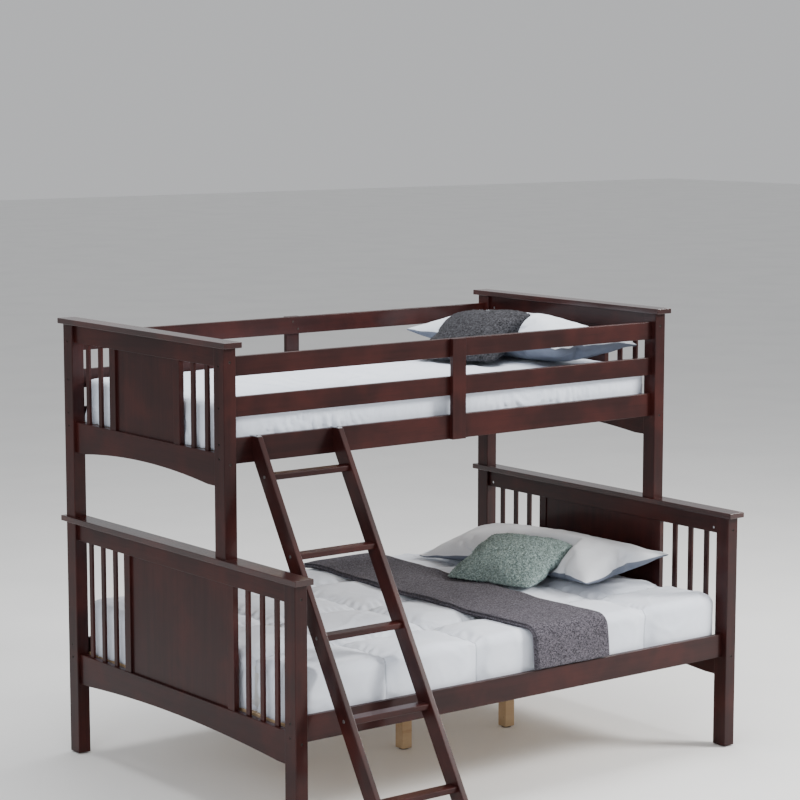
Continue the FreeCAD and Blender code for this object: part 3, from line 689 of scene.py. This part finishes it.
def throw():
    """The throw: one cloth folded to and fro into four layers, laid across the bed and over its edge.

    Across its width the profile runs level, turns half a circle up and runs back; that profile is
    carried along a path over the quilt, round the mattress edge and down."""
    low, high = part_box("lower_throw")
    _, quilt_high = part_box("lower_quilt")
    rise = THROW_STACK / THROW_LAYERS
    width = high.x - low.x
    profile = []
    for layer in range(THROW_LAYERS):
        t = np.linspace(0, 1, 30)
        edge = rise / 2 + 0.004 * (layer % 2)
        x = edge + (width - 2 * edge) * (t if layer % 2 == 0 else 1 - t)
        profile.append(np.column_stack([x, np.full_like(x, (layer + 0.5) * rise)]))
        if layer < THROW_LAYERS - 1:
            a = np.linspace(-math.pi / 2, math.pi / 2, 9)[1:-1]
            way = 1 if layer % 2 == 0 else -1
            at = width - rise if way > 0 else rise
            nose = at + way * THROW_NOSE * rise * np.cos(a)
            profile.append(np.column_stack([nose, (layer + 1 + np.sin(a) / 2) * rise]))
    profile = np.concatenate(profile)
    radius = THROW_BEND
    run = quilt_high.y - low.y - radius
    drop = high.z - low.z - radius
    total = run + radius * math.pi / 2 + drop
    s = np.linspace(0, total, 150)
    turn = np.clip((s - run) / radius, 0, math.pi / 2)
    down = np.maximum(s - run - radius * math.pi / 2, 0)
    y = quilt_high.y - np.minimum(s, run) - radius * np.sin(turn)
    z = quilt_high.z - radius * (1 - np.cos(turn)) - down
    sway = 0.012 * np.sin(s * 4.1 + 0.6) + 0.008 * np.sin(s * 9.3)
    px, pz = profile[:, 0][None, :], profile[:, 1][None, :]
    lift = pz * (1 + 0.10 * np.sin(s * 17)[:, None])
    points = np.stack([
        low.x + px + sway[:, None],
        y[:, None] - lift * np.sin(turn)[:, None],
        z[:, None] + lift * np.cos(turn)[:, None]], axis=2)
    rows, columns = points.shape[:2]
    points = points.reshape(-1, 3)
    points[:, 2] += ripple(points, 0.16, 61) * 0.0012
    knit = flecked_cloth("grey_knit", (0.026, 0.023, 0.029), (0.150, 0.138, 0.162), 300, 0.0016)
    piece = make_piece("lower_throw_cloth", points, grid_quads(rows, columns), [knit])
    thicken = piece.modifiers.new("thickness", "SOLIDIFY")
    thicken.thickness = THROW_CLOTH
    thicken.offset = 0
    return seat(piece, "lower_bunk", "grey_knit", "lower_throw")


def bedding():
    """Makes every soft piece; a pad is a cushion's angles, its middle, and its cut size and thickness."""
    slate = plain_cloth("slate_cotton", (0.130, 0.148, 0.190), (0.172, 0.193, 0.242), 420, 0.03)
    white = plain_cloth("pillow_percale", (0.73, 0.77, 0.83), (0.63, 0.68, 0.76))
    pale = herringbone_cloth("grey_herringbone", (0.74, 0.755, 0.79), (0.63, 0.65, 0.69))
    mattress("lower", "lower_bunk")
    mattress("upper", "upper_mattress")
    fitted_sheet()
    quilt()
    corner_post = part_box("upper_post_head_back")[1]
    head, wall = corner_post.x, corner_post.y
    quilt_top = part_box("lower_quilt")[1].z
    sheet_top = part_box("upper_fitted_sheet")[1].z
    sage = flecked_cloth("green_sherpa", (0.095, 0.140, 0.132), (0.40, 0.50, 0.48), 280, 0.004)
    tweed = flecked_cloth("charcoal_tweed", (0.003, 0.003, 0.004), (0.070, 0.070, 0.080), 260, 0.0018)
    low_pad = ((0, 19, 18), (head - 0.508, wall - 0.757, quilt_top + 0.070), (0.385, 0.385, 0.12))
    high_pad = ((4, 28, 21), (head - 0.466, wall - 0.473, sheet_top + 0.086), (0.375, 0.375, 0.12))
    pillow("lower", "lower_bunk", (0.455, 0.955, 0.172), (2.0, 7, 3),
           (head - 0.277, wall - 0.678, quilt_top + 0.060), 1.22,
           [pale, slate], "grey_herringbone", low_pad, edge_seed=88)
    pillow("upper", "upper_mattress", (0.435, 0.895, 0.185), (0, -1, 0),
           (head - 0.283, wall - 0.540, sheet_top + 0.084), 1.08,
           [white, slate], "white_percale", high_pad, edge_seed=85)
    cushion("lower", "lower_bunk", *low_pad, sage, "green_sherpa", 0.009, 0.0022)
    cushion("upper", "upper_mattress", *high_pad, tweed, "charcoal_tweed", 0.012, 0.0012)
    throw()


# ---------------------------------------------------------------- floor, light and camera

CAMERA_AT = (-5.368, -6.749, 2.503)
CAMERA_YAW = 37.668                 # degrees from +Y towards +X
CAMERA_PITCH = 7.565                # degrees below level
CAMERA_LENS = 106.47                # millimetres on a 36 mm sensor


def camera():
    """A long lens from beyond the foot end and the open side, looking slightly down."""
    data = bpy.data.cameras.new("camera")
    data.lens = CAMERA_LENS
    data.clip_end = 200
    eye = bpy.data.objects.new("camera", data)
    eye.location = CAMERA_AT
    eye.rotation_euler = (math.radians(90 - CAMERA_PITCH), 0, math.radians(-CAMERA_YAW))
    bpy.context.scene.collection.objects.link(eye)
    bpy.context.scene.camera = eye


def lamp(name, energy, size, place, target, colour=(1, 1, 1)):
    """A rectangular soft light, turned to face its target."""
    data = bpy.data.lights.new(name, "AREA")
    data.energy = energy
    data.shape = "RECTANGLE"
    data.size, data.size_y = size
    data.color = colour
    light = bpy.data.objects.new(name, data)
    light.location = place
    light.rotation_euler = (Vector(target) - Vector(place)).to_track_quat("-Z", "Y").to_euler()
    bpy.context.scene.collection.objects.link(light)


FLOOR_REACH = 40.0                  # from the middle to each side
FLOOR_LINES = 9


def studio():
    """A pale floor under an even pale sky, a broad key from the right front, and softer fills."""
    world = bpy.data.worlds.new("studio")
    world.use_nodes = True
    world.node_tree.nodes["Background"].inputs["Color"].default_value = (0.93, 0.94, 0.96, 1)
    world.node_tree.nodes["Background"].inputs["Strength"].default_value = 0.62
    bpy.context.scene.world = world
    lamp("key", 560, (1.8, 1.5), (4.6, -3.8, 3.9), (0, 0, 0.9), (1, 0.985, 0.96))
    lamp("fill", 140, (3.0, 3.0), (-5.0, -3.0, 2.6), (0, 0, 0.9), (0.95, 0.97, 1))
    lamp("top", 250, (4.0, 3.0), (0, 0.5, 5.0), (0, 0, 0))
    line = np.linspace(-FLOOR_REACH, FLOOR_REACH, FLOOR_LINES)
    i, j = np.meshgrid(line, line, indexing="ij")
    points = np.column_stack([i.ravel(), j.ravel(), np.zeros(i.size)])
    paint = Finish("pale_floor", Specular_IOR_Level=0.2)
    cloud = paint.noise(paint.place(), 1.5, 3, 0.5)
    paint.set("Base Color", paint.mix(cloud.ramp(0.3, 0.8), (0.86, 0.86, 0.85), (0.82, 0.82, 0.815)))
    paint.set("Roughness", 0.6 + 0.1 * cloud)
    make_piece("floor", points, grid_quads(FLOOR_LINES, FLOOR_LINES), [paint.material])


dress_frame()
bedding()
camera()
studio()
